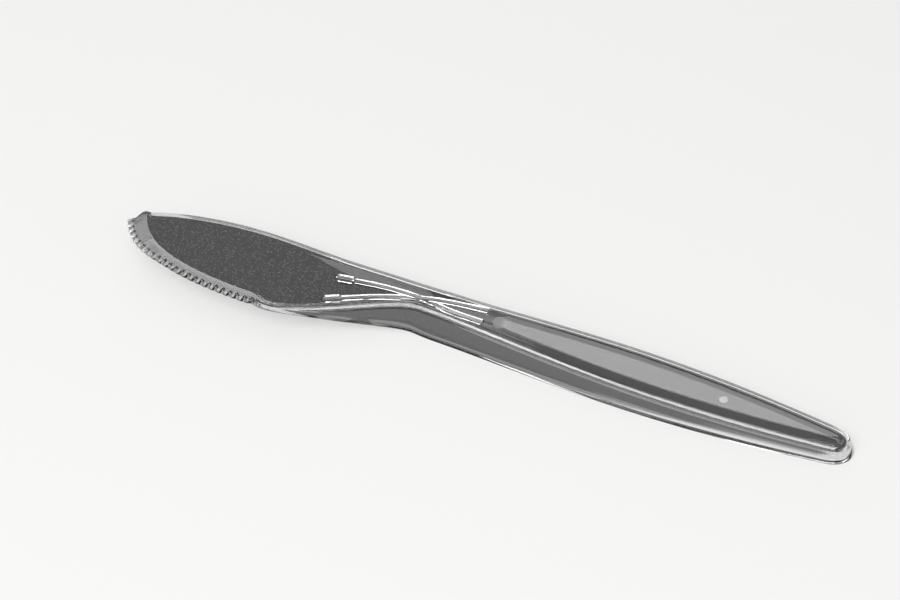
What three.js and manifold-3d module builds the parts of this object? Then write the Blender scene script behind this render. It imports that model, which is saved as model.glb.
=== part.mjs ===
// Disposable table knife, injection moulded in one piece from clear polystyrene.
// Millimetres, +Z up. The knife lies on the rim of its handle, with the open side of the
// handle's channel facing down. X runs along the handle, blade at -X; the cutting edge is at -Y.
import * as THREE from 'three';
import { mergeVertices } from 'three/addons/utils/BufferGeometryUtils.js';
import Module from 'manifold-3d';

const { degToRad, lerp, smoothstep } = THREE.MathUtils;

// Lengths along the knife, from the neck where the handle is narrowest
const handleLength = 98;        // neck to the end of the handle's flat top
const swellAt = 52;             // neck to the widest place of the handle
const shoulderLength = 30.9;    // neck to the heel of the cutting edge
const bladeLength = 37.1;       // heel to the tip of the blade's flat face
const scoopLength = 5;          // the bevel's run-out at the heel
const riseStart = 5;            // the rim leaves the table this far behind the neck

// Half widths of the handle's flat top, measured from its centre line
const neckHalf = 3.6;
const swellHalf = 6;
const endHalf = 3.3;
const endCorner = 3.8;          // length of the round at the handle's end

// The blade's outline, measured across from the handle's centre line
const spineAbove = 2.9;         // straight part of the spine
const spineBow = 1.05;          // pull of the curve that takes the spine down to the tip
const tipBelow = 3.4;           // tip of the flat face
const bevelBelow = 15.5;        // inner line of the bevel at its widest
const heelBelow = 17.2;         // crest of the shoulder at the heel
const tipRound = 0.7;

// The blade's end is cut off at a slant, with a step where the toothed strip starts
const tipSlant = 12;            // degrees from square
const stripSlant = 33;          // degrees of the strip's own end from the knife's length
const notchAhead = 1.6;         // the step, ahead of the flat face's tip
const notchBelow = 5.7;         // the step, below the centre line

// Heights of the flat top above the table
const neckHeight = 7.1;
const endHeight = 4.15;

// Walls
const webThickness = 1.4;       // top of the handle, and the blade along its spine
const wallThickness = 1.2;
const draft = 20;               // degrees that the side walls lean outwards
const spineLip = 0.35;          // how far the rim hangs below the web along the blade
const crownInset = 2.8;         // the handle's flat top starts to fall this far inside its crest
const crownDrop = 0.25;
const bladeCrownInset = 1.4;    // the same along the blade and the shoulder
const bladeCrownDrop = 0.1;
const crownFade = 18;           // the crown gets its full width this far behind the neck
const cornerRound = 1.3;        // outer round along the crest
const innerRound = 0.8;         // inner round under the crest
const rimRound = 0.3;           // outer round along the rim
const tipInset = 0.36;          // room for these rounds at the tip
const tipWidening = 0.3;        // gain of that room for each millimetre from the tip

// Cutting edge
const bladeTilt = 1.6;          // degrees that the blade's top face falls towards the edge
const bevelRun = 3;
const bevelTipRun = 4.6;
const bevelTaper = 13;          // the bevel narrows to its run over this length from the tip
const bevelCrease = 0.1;        // round along the bevel's inner line
const bevelMargin = 0.4;        // strip of the flat face that follows that line
const heelShare = 0.35;         // share of the bevel that is left in the wall at the heel
const heelFade = 0.45;          // share of the shoulder over which that is gone
const edgeThickness = 0.4;
const toothPitch = 1.82;
const toothRadius = 0.75;
const toothDepth = 0.42;
const toothLength = 1.6;
const toothStart = 1.64;        // first flute, from the end of the edge at the heel

// Crossed stiffening ribs under the neck, with thick heads under the blade
const ribRadius = 0.82;
const ribDrop = 0.2;            // middle line of the ribs, below the underside
const ribReach = 19;            // neck to the middle of the heads
const ribTail = 13.6;           // neck to the ends of the ribs in the handle
const ribSpread = 1.8;          // half the distance between the ends in the handle
const tailAbove = 0.35;         // middle between those ends, above the centre line
const ribBow = 0.57;            // how far the ribs bow towards the spine
const tailBow = 0.4;            // how far their ends in the handle bow apart
const upperHeadBelow = 2.7;
const lowerHeadBelow = 9.45;
const crossBelow = 0.7;         // where the ribs cross, below the centre line
const crossAt = 1;              // where the ribs cross, from the neck towards the blade
const headRadius = 1.2;
const headLength = 4.6;
const headPoint = 1.1;          // length of the head's pointed end
const headStep = 0.5;           // length over which the head steps down to its rib

// Round ejector pads on the underside of the handle's top
const largePadAt = 17.6;
const largePadRadius = 1.65;
const smallPadAt = 69.8;
const smallPadRadius = 0.95;
const padHeight = 0.25;

// Places and rates that several shapes share
const heelX = -shoulderLength;
const tipX = heelX - bladeLength;
const bevelEndX = heelX - scoopLength;
const topSlope = (neckHeight - endHeight) / handleLength;
const tiltRate = Math.tan(degToRad(bladeTilt));
const draftRate = Math.tan(degToRad(draft));
const rimWidth = wallThickness / Math.cos(degToRad(draft));

// Facets along each stretch of the outline, the same on both sides of the knife
const steps = { tip: 4, blade: 36, scoop: 10, shoulder: 20, swell: 16, taper: 16, end: 10 };

// Least distance between neighbouring lines of the skin
const leastStep = 0.02;

// The plane of the handle's flat top, which the blade carries on
const topPlane = (x) => endHeight + (handleLength - x) * topSlope;
const underside = (x) => topPlane(x) - webThickness;

// The blade's face falls from the spine to the edge; the fall fades out along the shoulder
function topHeight(x, y) {
  const fade = 1 - smoothstep(x, heelX, 0);
  return topPlane(x) - tiltRate * Math.max(spineAbove - y, 0) * fade;
}

// The rim is on the table along the handle and rises along the shoulder to the blade's underside
function rimHeight(x) {
  const rise = 1 - smoothstep(x, heelX, riseStart);
  return rise * (underside(Math.max(x, heelX)) - spineLip) + Math.max(heelX - x, 0) * topSlope;
}

// The crest in plan, as two chains of curves from the tip to the end of the handle.
// Each stretch says how much of the cutting bevel its profile has, from its start to its end.
const plan = (x, y) => new THREE.Vector2(x, y);
const bow = (...points) => new THREE.CubicBezierCurve(...points);
const arch = (...points) => new THREE.QuadraticBezierCurve(...points);
const towards = (from, to, distance) => to.clone().sub(from).setLength(distance).add(from);
const noBevel = () => 0;

const tip = plan(tipX, -tipBelow);
const spinePull = plan(tipX + 0.24 * bladeLength, spineBow);
const bevelPull = plan(tipX + 0.1 * bladeLength, -lerp(tipBelow, bevelBelow, 0.75));
const spineStart = towards(tip, spinePull, tipRound);
const bevelStart = towards(tip, bevelPull, tipRound);
const tipMiddle = spineStart.clone().lerp(bevelStart, 0.5).lerp(tip, 0.5);
const bevelEnd = plan(bevelEndX, -bevelBelow);
const heel = plan(heelX, -heelBelow);
const spineEnd = plan(heelX, spineAbove);
const swellLength = handleLength - swellAt;

const handleSide = [
  {
    curve: bow(
      plan(0, neckHalf),
      plan(0.23 * swellAt, neckHalf),
      plan(0.62 * swellAt, swellHalf),
      plan(swellAt, swellHalf),
    ),
    count: steps.swell,
    bevel: noBevel,
  },
  {
    curve: bow(
      plan(swellAt, swellHalf),
      plan(swellAt + 0.36 * swellLength, swellHalf),
      plan(swellAt + 0.68 * swellLength, lerp(endHalf, swellHalf, 0.5)),
      plan(handleLength - endCorner, endHalf),
    ),
    count: steps.taper,
    bevel: noBevel,
  },
  {
    curve: bow(
      plan(handleLength - endCorner, endHalf),
      plan(handleLength - 0.4 * endCorner, 0.9 * endHalf),
      plan(handleLength, 0.6 * endHalf),
      plan(handleLength, 0),
    ),
    count: steps.end,
    bevel: noBevel,
  },
];

const farChain = [
  {
    curve: arch(tipMiddle, tip.clone().lerp(spineStart, 0.5), spineStart),
    count: steps.tip,
    bevel: (along) => (1 - along) / 2,
  },
  {
    curve: bow(
      spineStart,
      spinePull,
      plan(tipX + 0.6 * bladeLength, spineAbove),
      plan(bevelEndX, spineAbove),
    ),
    count: steps.blade,
    bevel: noBevel,
  },
  {
    curve: new THREE.LineCurve(plan(bevelEndX, spineAbove), spineEnd),
    count: steps.scoop,
    bevel: noBevel,
  },
  {
    curve: bow(
      spineEnd,
      plan(0.6 * heelX, spineAbove),
      plan(0.3 * heelX, neckHalf),
      plan(0, neckHalf),
    ),
    count: steps.shoulder,
    bevel: noBevel,
  },
  ...handleSide,
];

const nearChain = [
  {
    curve: arch(tipMiddle, tip.clone().lerp(bevelStart, 0.5), bevelStart),
    count: steps.tip,
    bevel: (along) => (1 + along) / 2,
  },
  {
    curve: bow(
      bevelStart,
      bevelPull,
      plan(tipX + 0.37 * bladeLength, -bevelBelow),
      bevelEnd,
    ),
    count: steps.blade,
    bevel: () => 1,
  },
  {
    curve: bow(
      bevelEnd,
      plan(bevelEndX + 0.5 * scoopLength, -bevelBelow),
      plan(heelX - 0.5 * scoopLength, -heelBelow),
      heel,
    ),
    count: steps.scoop,
    bevel: (along) => lerp(1, heelShare, smoothstep(along, 0, 1)),
    even: true,
  },
  {
    curve: bow(
      heel,
      plan(0.61 * heelX, -lerp(neckHalf, heelBelow, 0.9)),
      plan(0.25 * heelX, -neckHalf),
      plan(0, -neckHalf),
    ),
    count: steps.shoulder,
    bevel: (along) => heelShare * (1 - smoothstep(along, 0, heelFade)),
  },
  ...handleSide.map((stretch) => ({ ...stretch, curve: mirrored(stretch.curve) })),
];

function mirrored(curve) {
  const flip = (point) => plan(point.x, -point.y);
  return bow(flip(curve.v0), flip(curve.v1), flip(curve.v2), flip(curve.v3));
}

// Even points along a chain, each with its share of the bevel
function samplePoints(chain) {
  return chain.flatMap(({ curve, count, bevel, even = false }) => {
    const spaced = curve.getSpacedPoints(count).slice(0, count);
    return spaced.map((at, i) => ({ at, cut: bevel(i / count), even }));
  });
}

const endPole = { at: plan(handleLength, 0), cut: 0, even: false };
const outline = [
  ...samplePoints(farChain),
  endPole,
  ...samplePoints(nearChain).slice(1).reverse(),
];

// Outward direction in plan at each point of the outline
outline.forEach((point, i) => {
  const before = outline[(i + outline.length - 1) % outline.length].at;
  const after = outline[(i + 1) % outline.length].at;
  const step = after.clone().sub(before).normalize();
  point.out = plan(-step.y, step.x);
});

// The edge runs straight on past the scoop, so its directions there turn evenly
const scoopPoints = outline.filter(({ even }) => even);
const scoopTurn = [scoopPoints.at(0).out.clone(), scoopPoints.at(-1).out.clone()];
scoopPoints.forEach((point, i) => {
  const along = i / (scoopPoints.length - 1);
  point.out = scoopTurn[0].clone().lerp(scoopTurn[1], along).normalize();
});

// One ring of the skin: the outline moved sideways, at heights of its own
const ring = (offsetAndHeight) => outline.map((point) => {
  const [offset, height] = offsetAndHeight(point);
  const place = point.at.clone().addScaledVector(point.out, offset);
  return new THREE.Vector3(place.x, place.y, height);
});

// The profile of the wall at one point of the outline. Along the blade it is the cutting bevel.
function profile({ at, cut }) {
  const room = tipInset + tipWidening * (at.x - tipX);
  const onHandle = smoothstep(at.x, 0, crownFade);
  const wide = lerp(bladeCrownInset, crownInset, onHandle);
  const inset = Math.min(lerp(wide, bevelMargin, cut), room);
  const fullDrop = lerp(bladeCrownDrop, crownDrop, onHandle);
  const drop = fullDrop * (1 - cut) * Math.min(1, room / wide);
  const crest = topHeight(at.x, at.y) - drop;
  const low = underside(at.x);
  const rim = lerp(rimHeight(at.x), low + edgeThickness, cut);
  const bevel = lerp(bevelTipRun, bevelRun, smoothstep(at.x, tipX, tipX + bevelTaper));
  const run = lerp((crest - rim) * draftRate, bevel, cut);
  const length = Math.hypot(run, crest - rim);
  const round = lerp(Math.min(cornerRound, room, length / 2), bevelCrease, cut);
  return { inset, drop, crest, low, rim, run, round, cut, room, length };
}

// A point of the crown, which falls away from the flat top like a shallow arc
function crown(point, share) {
  const { inset, drop, round, crest } = profile(point);
  const flatEdge = crest + drop;
  return [-lerp(inset, Math.min(round, inset), share), flatEdge - drop * share * share];
}

// A point on the round between the crown and the wall
function corner(point, share) {
  const { crest, rim, run, round, length } = profile(point);
  const [startOffset, startHeight] = crown(point, 1);
  const endOffset = (run * round) / length;
  const endOnWall = crest - ((crest - rim) * round) / length;
  const near = (1 - share) * (1 - share);
  const far = share * share;
  return [
    near * startOffset + far * endOffset,
    near * startHeight + (1 - near - far) * crest + far * endOnWall,
  ];
}

// The outer edge of the rim, rounded except along the cutting edge
function rimSide(point) {
  const { crest, rim, run, cut } = profile(point);
  const lift = rimRound * (1 - cut) + leastStep;
  return [run * (1 - lift / (crest - rim)), rim + lift];
}

function rimOuter(point) {
  const { rim, run, cut } = profile(point);
  return [run - (rimRound / 2) * (1 - cut), rim];
}

function rimInner(point) {
  const { low, rim, run, cut } = profile(point);
  return [run - rimWidth * (1 - cut), lerp(rim, low, cut)];
}

// The inside of the wall runs parallel to its outside, up to the round under the web
function innerWall(point, share) {
  const { low, rim, run, cut, room } = profile(point);
  const hang = Math.max(low - rim, 0) * (1 - cut);
  const round = Math.max(Math.min(innerRound, hang / 2), 2 * leastStep);
  const foot = run - rimWidth - Math.max(hang - round, 0) * draftRate;
  const turn = (share * Math.PI) / 2;
  const offset = foot - round * (1 - Math.cos(turn));
  const height = low - round * (1 - Math.sin(turn)) * (1 - cut);
  return [Math.max(offset, -room - share * leastStep), height];
}

const edgeRing = ring(rimSide);
const rings = [
  ring((p) => crown(p, 0)),
  ring((p) => crown(p, 0.55)),
  ring((p) => corner(p, 0)),
  ring((p) => corner(p, 1 / 3)),
  ring((p) => corner(p, 2 / 3)),
  ring((p) => corner(p, 1)),
  edgeRing,
  ring(rimOuter),
  ring(rimInner),
  ring((p) => innerWall(p, 0)),
  ring((p) => innerWall(p, 0.5)),
  ring((p) => innerWall(p, 1)),
];

// Joins closed rings of points into a skin, and closes the first and last ring across
function skin(loops) {
  const count = loops[0].length;
  const half = count / 2;
  const index = [];
  const quad = (a, b, c, d) => index.push(a, b, c, a, c, d);
  for (let r = 0; r + 1 < loops.length; r += 1) {
    for (let i = 0; i < count; i += 1) {
      const next = (i + 1) % count;
      quad(r * count + i, r * count + next, (r + 1) * count + next, (r + 1) * count + i);
    }
  }
  const across = (base, turned) => {
    for (let i = 0; i < half; i += 1) {
      const corners = [i, i + 1, count - i - 1, (count - i) % count].map((k) => base + k);
      const face = i === 0 ? corners.slice(0, 3) : corners;
      const trimmed = i === half - 1 ? [corners[0], corners[1], corners[3]] : face;
      const ordered = turned ? [...trimmed].reverse() : trimmed;
      index.push(ordered[0], ordered[1], ordered[2]);
      if (ordered.length === 4) index.push(ordered[0], ordered[2], ordered[3]);
    }
  };
  across(0, true);
  across((loops.length - 1) * count, false);
  const geometry = new THREE.BufferGeometry();
  geometry.setFromPoints(loops.flat());
  geometry.setIndex(index);
  return geometry;
}

// Solids for joining and cutting
const wasm = await Module();
wasm.setup();

function solid(geometry) {
  const bare = geometry.clone();
  bare.deleteAttribute('normal');
  bare.deleteAttribute('uv');
  const merged = mergeVertices(bare, 1e-5);
  return new wasm.Manifold(new wasm.Mesh({
    numProp: 3,
    vertProperties: new Float32Array(merged.attributes.position.array),
    triVerts: new Uint32Array(merged.index.array),
  }));
}

function fromSolid(body) {
  const { vertProperties, triVerts } = body.getMesh();
  const geometry = new THREE.BufferGeometry();
  geometry.setAttribute('position', new THREE.BufferAttribute(new Float32Array(vertProperties), 3));
  geometry.setIndex(new THREE.BufferAttribute(new Uint32Array(triVerts), 1));
  geometry.computeVertexNormals();
  return geometry;
}

// What is cut off the blade's end: all that lies ahead of its slanted end and of the strip's end
function tipTrim() {
  const notch = plan(tipX - notchAhead, -notchBelow);
  const reach = notchBelow + spineAbove + bevelTipRun;
  const slant = degToRad(tipSlant);
  const strip = degToRad(stripSlant);
  const outside = new THREE.Shape([
    notch,
    plan(notch.x + reach * Math.sin(slant), notch.y + reach * Math.cos(slant)),
    plan(notch.x - reach, notch.y + reach),
    plan(notch.x - reach * Math.cos(strip), notch.y - reach * Math.sin(strip)),
  ]);
  return new THREE.ExtrudeGeometry(outside, { depth: 2 * topPlane(tipX), bevelEnabled: false });
}

// The flutes between the teeth: round cuts across the bevel, deepest at the edge
function toothFlutes() {
  const toothed = outline
    .map((point, i) => ({ point, place: edgeRing[i] }))
    .filter(({ point }) => point.cut > 0.5);
  const edge = new THREE.CatmullRomCurve3(toothed.map(({ place }) => place));
  const count = Math.floor((edge.getLength() - toothStart) / toothPitch) + 1;
  const up = new THREE.Vector3(0, 0, 1);
  const flutes = [];
  for (let i = 0; i < count; i += 1) {
    const along = (toothStart + i * toothPitch) / edge.getLength();
    const { crest, rim, run } = profile(toothed[Math.round(along * (toothed.length - 1))].point);
    const floorAngle = Math.atan((crest - rim) / run + toothDepth / toothLength);
    const tangent = edge.getTangentAt(along).setZ(0).normalize();
    const inward = new THREE.Vector3(tangent.y, -tangent.x, 0);
    const axis = inward.clone().multiplyScalar(Math.cos(floorAngle));
    axis.addScaledVector(up, Math.sin(floorAngle));
    const lift = up.clone().multiplyScalar(Math.cos(floorAngle));
    lift.addScaledVector(inward, -Math.sin(floorAngle));
    const middle = edge.getPointAt(along).addScaledVector(up, -toothDepth);
    middle.addScaledVector(axis, toothLength / 2).addScaledVector(lift, toothRadius);
    const flute = new THREE.CylinderGeometry(toothRadius, toothRadius, 2.4 * toothLength, 14);
    const side = new THREE.Vector3().crossVectors(axis, lift);
    const turn = new THREE.Matrix4().makeBasis(side, axis, lift);
    flute.applyMatrix4(turn).translate(middle.x, middle.y, middle.z);
    flutes.push(flute);
  }
  return flutes;
}

// A rib is a round bar half sunk into the underside, with a head like a match's under the blade
function rib(headBelow, tailSide) {
  const cross = plan(-crossAt, -crossBelow);
  const headMiddle = plan(-ribReach, -headBelow);
  const tailEnd = plan(ribTail, tailAbove + ribSpread * tailSide);
  const places = [
    headMiddle,
    headMiddle.clone().lerp(cross, 0.5).add(plan(0, ribBow)),
    cross,
    cross.clone().lerp(tailEnd, 0.5).add(plan(0, tailBow * tailSide)),
    tailEnd,
  ];
  const route = new THREE.CatmullRomCurve3(
    places.map(({ x, y }) => new THREE.Vector3(x, y, underside(x) - ribDrop)),
  );
  const section = new THREE.Shape().absarc(0, 0, ribRadius, 0, 2 * Math.PI, false);
  const bar = new THREE.ExtrudeGeometry(section, { steps: 24, curveSegments: 12, extrudePath: route });
  const tail = new THREE.SphereGeometry(ribRadius, 14, 10);
  const tailPlace = route.getPoint(1);
  tail.translate(tailPlace.x, tailPlace.y, tailPlace.z);
  const head = ribHead();
  const headPlace = route.getPoint(0);
  const heading = route.getTangent(0);
  head.rotateZ(Math.atan2(heading.y, heading.x) - Math.PI / 2);
  head.translate(headPlace.x, headPlace.y, headPlace.z);
  return [bar, tail, head];
}

// The head of a rib, turned around +Y: pointed at its free end, stepped down to the rib at the other
function ribHead() {
  const free = -headLength / 2;
  const joined = headLength / 2;
  const half = [
    plan(0, free),
    plan(0.55 * headRadius, free + 0.35 * headPoint),
    plan(0.85 * headRadius, free + 0.7 * headPoint),
    plan(headRadius, free + headPoint),
    plan(headRadius, joined - headStep),
    plan(ribRadius, joined),
    plan(0, joined),
  ];
  return new THREE.LatheGeometry(half, 18);
}

function ejectorPad(x, radius) {
  const depth = webThickness / 2 + padHeight;
  const pad = new THREE.CylinderGeometry(radius, radius, depth, 28);
  pad.rotateX(Math.PI / 2);
  pad.translate(x, 0, underside(x) + depth / 2 - padHeight);
  return pad;
}

let body = solid(skin(rings));
const added = [
  ...rib(upperHeadBelow, -1),
  ...rib(lowerHeadBelow, 1),
  ejectorPad(largePadAt, largePadRadius),
  ejectorPad(smallPadAt, smallPadRadius),
];
added.forEach((piece) => {
  body = body.add(solid(piece));
});
[...toothFlutes(), tipTrim()].forEach((cut) => {
  body = body.subtract(solid(cut));
});

// The origin is on the table, under the middle of the knife
const knifeShape = fromSolid(body);
knifeShape.computeBoundingBox();
const middle = knifeShape.boundingBox.getCenter(new THREE.Vector3());
knifeShape.translate(-middle.x, -middle.y, -knifeShape.boundingBox.min.z);

const clearPolystyrene = new THREE.MeshStandardMaterial({
  color: 0x8d8f92,
  roughness: 0.12,
  metalness: 0,
  transparent: true,
  opacity: 0.55,
});
const knife = new THREE.Mesh(knifeShape, clearPolystyrene);
knife.name = 'knife';

const tableKnife = new THREE.Group();
tableKnife.name = 'table_knife';
tableKnife.add(knife);

export default tableKnife;
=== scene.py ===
# %% [markdown]
# # A clear disposable table knife
#
# The real knife is one injection moulding in crystal polystyrene: a thin blade with a bevelled,
# toothed edge, and a handle shaped like an upturned channel. Light runs through it and around in
# it, so what the eye sees is mostly its edges. That makes two things matter here: a fine, closed
# mesh with smooth rounds, and a glassy material under a studio light with bright and dark places.
#
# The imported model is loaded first. It stays as the fixed frame, and the new mesh goes where it is.

# %% Load the frame
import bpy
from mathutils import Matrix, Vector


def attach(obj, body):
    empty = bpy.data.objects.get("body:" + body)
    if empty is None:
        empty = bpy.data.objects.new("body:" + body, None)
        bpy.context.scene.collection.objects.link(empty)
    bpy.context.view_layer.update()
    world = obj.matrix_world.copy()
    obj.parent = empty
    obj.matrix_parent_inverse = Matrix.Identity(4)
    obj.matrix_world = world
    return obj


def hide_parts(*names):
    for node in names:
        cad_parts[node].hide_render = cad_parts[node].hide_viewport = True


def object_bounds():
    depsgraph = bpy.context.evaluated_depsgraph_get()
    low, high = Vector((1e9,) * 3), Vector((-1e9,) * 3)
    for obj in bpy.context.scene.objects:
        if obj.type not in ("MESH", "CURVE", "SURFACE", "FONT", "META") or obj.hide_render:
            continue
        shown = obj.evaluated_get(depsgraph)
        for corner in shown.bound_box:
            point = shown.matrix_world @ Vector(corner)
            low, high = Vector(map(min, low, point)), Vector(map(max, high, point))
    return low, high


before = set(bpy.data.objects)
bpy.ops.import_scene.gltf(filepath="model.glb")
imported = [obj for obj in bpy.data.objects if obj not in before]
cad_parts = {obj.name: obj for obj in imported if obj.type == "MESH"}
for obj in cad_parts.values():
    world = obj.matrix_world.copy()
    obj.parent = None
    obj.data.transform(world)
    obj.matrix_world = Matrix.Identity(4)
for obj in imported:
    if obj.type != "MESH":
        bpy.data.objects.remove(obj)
cad_box = [list(corner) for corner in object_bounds()]

import math

import bmesh
import bpy
from mathutils import Matrix, Vector
from mathutils.geometry import interpolate_bezier

MM = 0.001


def in_mm(box):
    """The corners of a box in millimetres."""
    return [[round(value / MM, 2) for value in corner] for corner in box]


print("solid's box in mm:", in_mm(cad_box))

# %% [markdown]
# ## Lengths
#
# All sizes are in millimetres in the knife's own drawing frame: X runs along the handle from the
# neck, the handle's centre line is at Y = 0, the cutting edge is at -Y and the table at Z = 0.
# They are the sizes of the solid, apart from a few small rounds and hollows that only steer the
# light. Two helpers make most of the soft changes along the knife: mix blends two values, and ease
# is a smooth step from 0 to 1.

# %% Lengths along the knife
handle_length = 98  # from the neck to the handle's end
swell_at = 52  # where the handle is widest
shoulder_length = 30.9  # from the heel to the neck
blade_length = 37.1  # from the tip to the heel
scoop_length = 5  # the end of the bevel, just ahead of the heel

heel_x = -shoulder_length
tip_x = heel_x - blade_length
bevel_end_x = heel_x - scoop_length


def mix(a, b, share):
    """The value at a share of the way from a to b."""
    return a + (b - a) * share


def ease(value, start, end):
    """A smooth step: 0 up to start, 1 from end on."""
    share = min(max((value - start) / (end - start), 0), 1)
    return share * share * (3 - 2 * share)


print("tip at", tip_x, "heel at", heel_x, "handle's end at", handle_length)

# %% [markdown]
# ## Heights
#
# The flat top of the handle is a plane that the blade carries on. The blade's face falls a little
# towards its edge, the shoulder falls softly towards the spine, and the rim of the handle's wall
# rises from the table to the blade's underside along the shoulder. Such a surface could be sculpted
# by hand. Plain functions of X and Y are chosen, because each vertex can then ask for its height.

# %% Heights of the top, the underside and the rim
neck_height, end_height = 7.1, 4.15  # of the top at the neck and at the handle's end
web = 1.4  # thickness under the flat top
blade_tilt = 1.6  # degrees by which the blade's face falls towards its edge
spine_above = 2.9  # the spine's distance from the centre line
spine_lip = 0.35  # what is left of the wall under the blade
rise_start = 5  # where the rim leaves the table
fall_start, fall_full = -48, -40  # where the fall to the spine starts and has its full slope
fall_middle = -16  # where it is widest
fall_fade, fall_end = -6, 10  # where it starts to fade and is gone
fall_width, fall_least = 6.5, 0.2  # its width, and the share of it at the start
fall_rate = 0.06  # its depth for each millimetre of width

top_slope = (neck_height - end_height) / handle_length
tilt_rate = math.tan(math.radians(blade_tilt))


def top_plane(x):
    """Height of the plane of the flat top."""
    return end_height + (handle_length - x) * top_slope


def underside(x):
    """Height of the flat underside of the web and the blade."""
    return top_plane(x) - web


def spine_fall(x, y):
    """How far the top has fallen towards the spine."""
    wide = fall_width * mix(fall_least, 1, ease(x, fall_start, fall_middle))
    there = ease(x, fall_start, fall_full) * (1 - ease(x, fall_fade, fall_end))
    return fall_rate * wide * ease(y, spine_above - wide, spine_above) * there


def top_height(x, y):
    """The top, with the fall to the spine and the blade's tilt, which fades along the shoulder."""
    fade = 1 - ease(x, heel_x, 0)
    return top_plane(x) - tilt_rate * max(spine_above - y, 0) * fade - spine_fall(x, y)


def rim_height(x):
    """The foot of the walls: on the table along the handle, just under the blade past the heel."""
    rise = 1 - ease(x, heel_x, rise_start)
    return rise * (underside(max(x, heel_x)) - spine_lip) + max(heel_x - x, 0) * top_slope


print("top at the neck", top_plane(0), "rim at the neck", round(rim_height(0), 3))

# %% [markdown]
# ## Points along a curve
#
# Seen from above, the line where the flat top turns into the walls is a chain of Bezier curves on
# either side. Blender could draw it as a curve object. But the wall needs a place, a direction and
# a share of the bevel at every point, so the points are taken from the curves here.

# %% Even points along a Bezier curve
CURVE_SAMPLES = 600


def plan(*pairs):
    """Points in plan, from pairs of X and Y."""
    return [Vector(pair) for pair in pairs]


def even_points(knots, count):
    """Points at even distances along a Bezier curve, without its last point."""
    if len(knots) == 3:
        start, pull, end = knots
        knots = [start, start.lerp(pull, 2 / 3), end.lerp(pull, 2 / 3), end]
    fine = interpolate_bezier(*[knot.to_3d() for knot in knots], CURVE_SAMPLES)
    lengths = [0.0]
    for before, after in zip(fine, fine[1:]):
        lengths.append(lengths[-1] + (after - before).length)
    points, at = [], 0
    for i in range(count):
        goal = lengths[-1] * i / count
        while lengths[at + 1] < goal:
            at += 1
        share = (goal - lengths[at]) / (lengths[at + 1] - lengths[at])
        points.append(fine[at].lerp(fine[at + 1], share).to_2d())
    return points


print("samples taken on each curve:", CURVE_SAMPLES)

# %% [markdown]
# ## The crest
#
# The far side of the outline is the spine and the back of the handle. The near side is the cutting
# edge, the scoop where its bevel ends, the heel and the front of the handle. Each stretch has a
# name that gives its number of points, a curve, and the share of the cutting bevel that its wall
# has. A curve's inner points only pull at it, and each is placed by a share of its stretch. The two
# sides have equal counts, so that the flat faces can later be bridged straight across.

# %% Curves of the two sides
# Points on each stretch: the teeth need many along the blade
STEPS = {"tip": 18, "blade": 308, "scoop": 40, "shoulder": 72, "swell": 56, "taper": 56, "end": 26}
neck_half, swell_half, end_half = 3.6, 6, 3.3  # half the width at the neck, the swell and the end
end_corner = 3.8  # length of the handle's rounded end
spine_bow = 1.05  # how far above the centre line the spine is pulled near the tip
tip_below, bevel_below, heel_below = 3.4, 15.5, 17.2  # distances from the centre line
tip_round = 0.7  # what is rounded off on either side of the tip
heel_share = 0.35  # what is left of the bevel at the heel
heel_fade = 0.45  # the share of the shoulder after which it is gone
# Where the curves are pulled, as shares of their stretch
spine_first, spine_second = 0.24, 0.6  # from the tip
bevel_first, bevel_second = 0.1, 0.37
back_first, back_second = 0.6, 0.3  # the shoulder, from the neck
front_first, front_second = 0.61, 0.25
swell_first, swell_second = 0.23, 0.62
taper_first, taper_second = 0.36, 0.68  # from the swell
end_first = 0.4  # from the handle's end
# How deep or wide they are pulled there, as shares of their drop or half width
bevel_deep, front_deep = 0.75, 0.9
end_wide, end_narrow = 0.9, 0.6


def towards(start, goal, distance):
    """The point at a distance from start on the way to goal."""
    return start + (goal - start).normalized() * distance


def mirrored(knots):
    """The same points on the other side of the centre line."""
    return [Vector((knot.x, -knot.y)) for knot in knots]


def behind_tip(share):
    """X at a share of the blade's length behind its tip."""
    return tip_x + share * blade_length


def past_swell(share):
    """X at a share of the way from the widest place to the handle's end."""
    return swell_at + share * (handle_length - swell_at)


def no_bevel(along):
    """The share of the cutting bevel on a plain wall."""
    return 0


end_x = handle_length - end_corner
tip = Vector((tip_x, -tip_below))
spine_pull = Vector((behind_tip(spine_first), spine_bow))
bevel_pull = Vector((behind_tip(bevel_first), -mix(tip_below, bevel_below, bevel_deep)))
spine_start = towards(tip, spine_pull, tip_round)
bevel_start = towards(tip, bevel_pull, tip_round)
tip_middle = spine_start.lerp(bevel_start, 0.5).lerp(tip, 0.5)
bevel_end = Vector((bevel_end_x, -bevel_below))
heel = Vector((heel_x, -heel_below))

handle_side = [
    ("swell", plan((0, neck_half), (swell_first * swell_at, neck_half),
                   (swell_second * swell_at, swell_half), (swell_at, swell_half))),
    ("taper", plan((swell_at, swell_half), (past_swell(taper_first), swell_half),
                   (past_swell(taper_second), mix(end_half, swell_half, 0.5)),
                   (end_x, end_half))),
    ("end", plan((end_x, end_half), (handle_length - end_first * end_corner, end_wide * end_half),
                 (handle_length, end_narrow * end_half), (handle_length, 0))),
]
far_chain = [
    ("tip", [tip_middle, tip.lerp(spine_start, 0.5), spine_start], lambda along: (1 - along) / 2),
    ("blade", [spine_start, spine_pull, *plan((behind_tip(spine_second), spine_above),
                                              (bevel_end_x, spine_above))], no_bevel),
    ("scoop", plan((bevel_end_x, spine_above), (mix(bevel_end_x, heel_x, 0.5), spine_above),
                   (heel_x, spine_above)), no_bevel),
    ("shoulder", plan((heel_x, spine_above), (back_first * heel_x, spine_above),
                      (back_second * heel_x, neck_half), (0, neck_half)), no_bevel),
    *[(name, knots, no_bevel) for name, knots in handle_side],
]
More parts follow.
